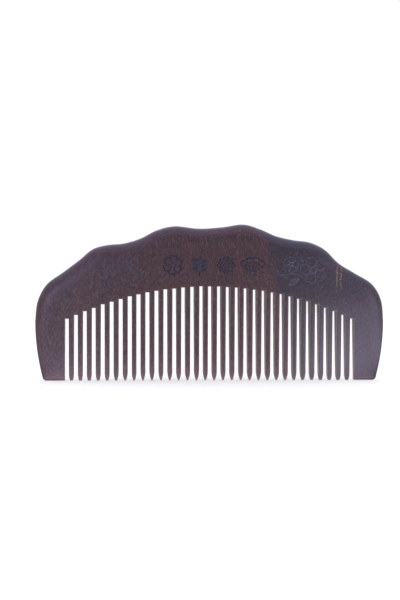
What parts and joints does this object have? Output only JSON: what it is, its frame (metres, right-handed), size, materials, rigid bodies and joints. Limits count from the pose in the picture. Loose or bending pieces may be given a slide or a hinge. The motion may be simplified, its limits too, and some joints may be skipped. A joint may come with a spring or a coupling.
{
  "type": "hair comb",
  "caption": "Hand-sized wooden comb with a scalloped, rounded spine, a broad guard at each end and a straight row of tapering saw-cut teeth.",
  "frame": {"origin": "on the floor below the middle of the comb, at the level of the tooth tips", "axes": "+X along the comb, +Y through the board towards its back face, +Z from the tooth tips up to the spine"},
  "size_m": [0.15, 0.01, 0.067],
  "materials": {
    "wood": "hand-polished dark sandalwood, satin, unlacquered"
  },
  "bodies": {
    "root": {"spine": "wood", "end_guard_left": "wood", "end_guard_right": "wood", "tooth_01": "wood", "tooth_02": "wood", "tooth_03": "wood", "tooth_04": "wood", "tooth_05": "wood", "tooth_06": "wood", "tooth_07": "wood", "tooth_08": "wood", "tooth_09": "wood", "tooth_10": "wood", "tooth_11": "wood", "tooth_12": "wood", "tooth_13": "wood", "tooth_14": "wood", "tooth_15": "wood", "tooth_16": "wood", "tooth_17": "wood", "tooth_18": "wood", "tooth_19": "wood", "tooth_20": "wood", "tooth_21": "wood", "tooth_22": "wood", "tooth_23": "wood", "tooth_24": "wood", "tooth_25": "wood", "tooth_26": "wood", "tooth_27": "wood", "tooth_28": "wood", "tooth_29": "wood", "tooth_30": "wood", "tooth_31": "wood", "tooth_32": "wood"}
  },
  "joints": []
}
